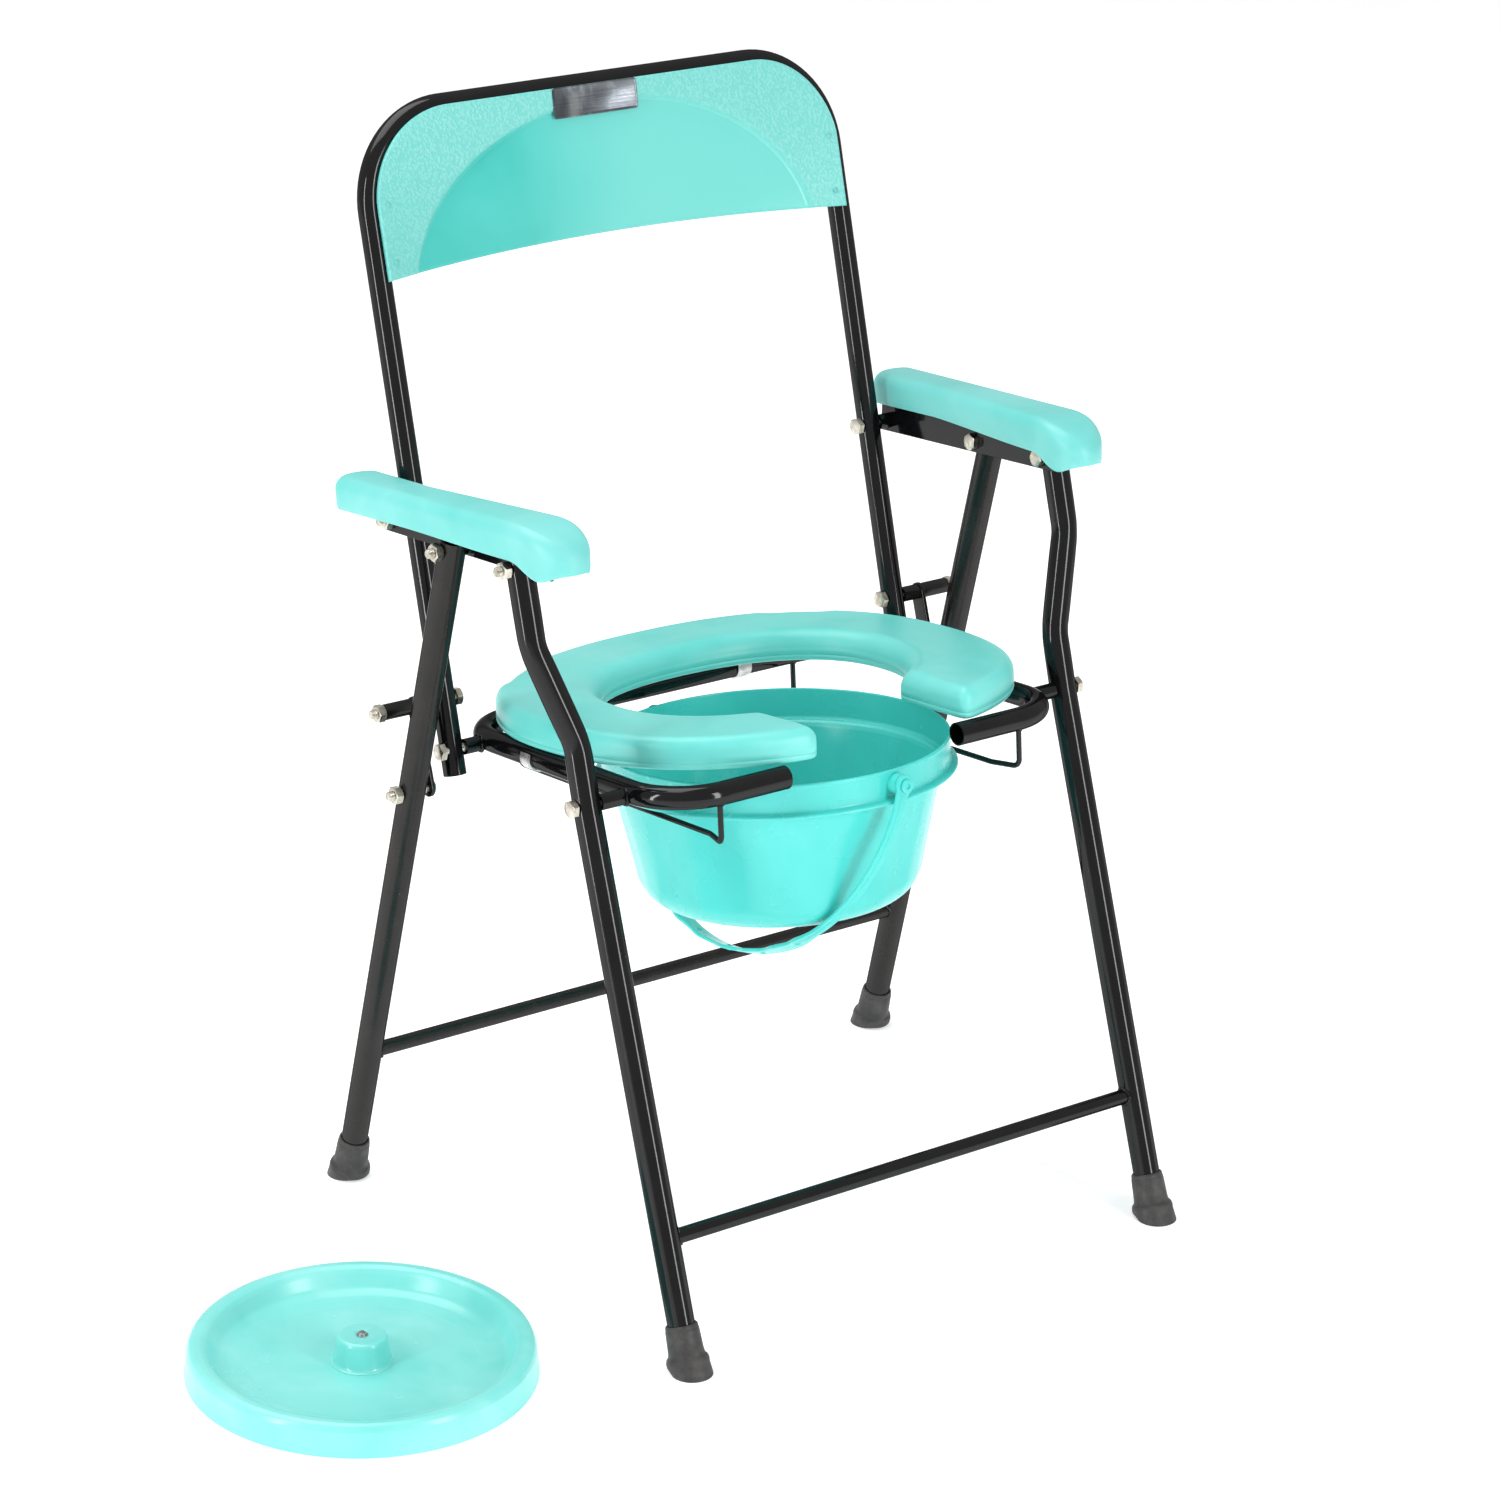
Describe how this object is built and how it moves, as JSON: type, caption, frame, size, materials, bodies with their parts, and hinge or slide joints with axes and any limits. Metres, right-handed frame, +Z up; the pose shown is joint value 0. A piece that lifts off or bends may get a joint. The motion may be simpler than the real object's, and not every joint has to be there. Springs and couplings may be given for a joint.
{
  "type": "commode chair",
  "caption": "Folding commode chair with armrests, a horseshoe seat over a sliding bucket with bail handle, rubber feet and a separate bucket lid.",
  "frame": {"origin": "on the floor, under the centre of the box round the chair and its lid", "axes": "+Z up; -Y is the way a sitter faces; +X is to the left of a sitter, away from the lid"},
  "size_m": [0.8884, 0.5302, 0.899],
  "materials": {
    "black_paint": "glossy black powder coat on steel tube",
    "zinc_steel": "bright zinc-plated fasteners",
    "label_foil": "blank silver foil plate",
    "mint_plastic": "satin to glossy mint green moulded polypropylene",
    "grey_rubber": "dark grey moulded rubber"
  },
  "bodies": {
    "back": {"back_frame": "black_paint", "back_panel": "mint_plastic", "panel_rivets": "zinc_steel", "label_plate": "label_foil", "rear_arm_bolts": "zinc_steel", "rear_arm_spacers": "black_paint", "lower_pivot_bolts": "zinc_steel", "stop_bolts": "zinc_steel", "stop_spacers": "black_paint"},
    "left_arm": {"arm_bar_left": "black_paint", "arm_pad_left": "mint_plastic", "pad_screws_left": "zinc_steel"},
    "right_arm": {"arm_bar_right": "black_paint", "arm_pad_right": "mint_plastic", "pad_screws_right": "zinc_steel"},
    "front_frame": {"front_leg_left": "black_paint", "front_leg_right": "black_paint", "front_crossbar": "black_paint", "front_feet": "grey_rubber", "front_top_bolts": "zinc_steel", "seat_pivot_bolts": "zinc_steel"},
    "rear_frame": {"rear_leg_left": "black_paint", "rear_leg_right": "black_paint", "rear_crossbar": "black_paint", "rear_feet": "grey_rubber", "rear_top_bolts": "zinc_steel", "rear_top_spacers": "black_paint", "link_nuts": "zinc_steel"},
    "left_link": {"link_left": "black_paint", "link_bolt_left": "zinc_steel"},
    "right_link": {"link_right": "black_paint", "link_bolt_right": "zinc_steel"},
    "seat": {"seat_frame": "black_paint", "seat_stubs": "black_paint", "seat_rail_left": "black_paint", "seat_rail_right": "black_paint", "seat_ring": "mint_plastic", "seat_clips": "zinc_steel", "clip_screws": "zinc_steel"},
    "bucket": {"bucket": "mint_plastic", "bail_pins": "mint_plastic"},
    "bail": {"bail_handle": "mint_plastic"},
    "lid": {"lid": "mint_plastic", "lid_knob": "mint_plastic", "lid_screw": "zinc_steel"}
  },
  "joints": [
    {"name": "arm_left_fold", "type": "hinge", "parent": "back", "child": "left_arm", "pos_m": [-0.10525, 0.1655, 0.5834], "axis": [-1, 0, 0], "range_deg": [0, 78]},
    {"name": "arm_right_fold", "type": "hinge", "parent": "back", "child": "right_arm", "pos_m": [0.39475, 0.1655, 0.5834], "axis": [-1, 0, 0], "range_deg": [0, 78]},
    {"name": "seat_fold", "type": "hinge", "parent": "back", "child": "seat", "pos_m": [0.14475, 0.10829, 0.40085], "axis": [-1, 0, 0], "range_deg": [0, 78]},
    {"name": "front_frame_fold", "type": "hinge", "parent": "left_arm", "child": "front_frame", "pos_m": [0.14475, -0.03624, 0.60603], "axis": [1, 0, 0], "range_deg": [0, 78]},
    {"name": "rear_frame_fold", "type": "hinge", "parent": "left_arm", "child": "rear_frame", "pos_m": [0.14475, 0.04963, 0.5964], "axis": [1, 0, 0], "range_deg": [0, 44.7]},
    {"name": "link_left_fold", "type": "hinge", "parent": "back", "child": "left_link", "pos_m": [-0.11325, 0.12315, 0.4395], "axis": [-1, 0, 0], "range_deg": [0, 116.31]},
    {"name": "link_right_fold", "type": "hinge", "parent": "back", "child": "right_link", "pos_m": [0.40275, 0.12315, 0.4395], "axis": [-1, 0, 0], "range_deg": [0, 116.31]},
    {"name": "bucket_slide", "type": "slide", "parent": "seat", "child": "bucket", "axis": [0, -0.9938, 0.1115], "range_m": [0, 0.33]},
    {"name": "bail_swing", "type": "hinge", "parent": "bucket", "child": "bail", "pos_m": [0.14475, -0.01821, 0.39442], "axis": [0.0872, -0.99, 0.111], "range_deg": [-39, 81]},
    {"name": "lid_lift", "type": "slide", "parent": "back", "child": "lid", "axis": [0, 0, 1], "range_m": [0, 0.4]}
  ],
  "couplings": [
    {"joint": "arm_right_fold", "follows": "arm_left_fold", "ratio": 1},
    {"joint": "seat_fold", "follows": "arm_left_fold", "ratio": 1},
    {"joint": "front_frame_fold", "follows": "arm_left_fold", "ratio": 1},
    {"joint": "rear_frame_fold", "follows": "arm_left_fold", "ratio": 0.573},
    {"joint": "link_left_fold", "follows": "arm_left_fold", "ratio": 1.491},
    {"joint": "link_right_fold", "follows": "arm_left_fold", "ratio": 1.491}
  ]
}
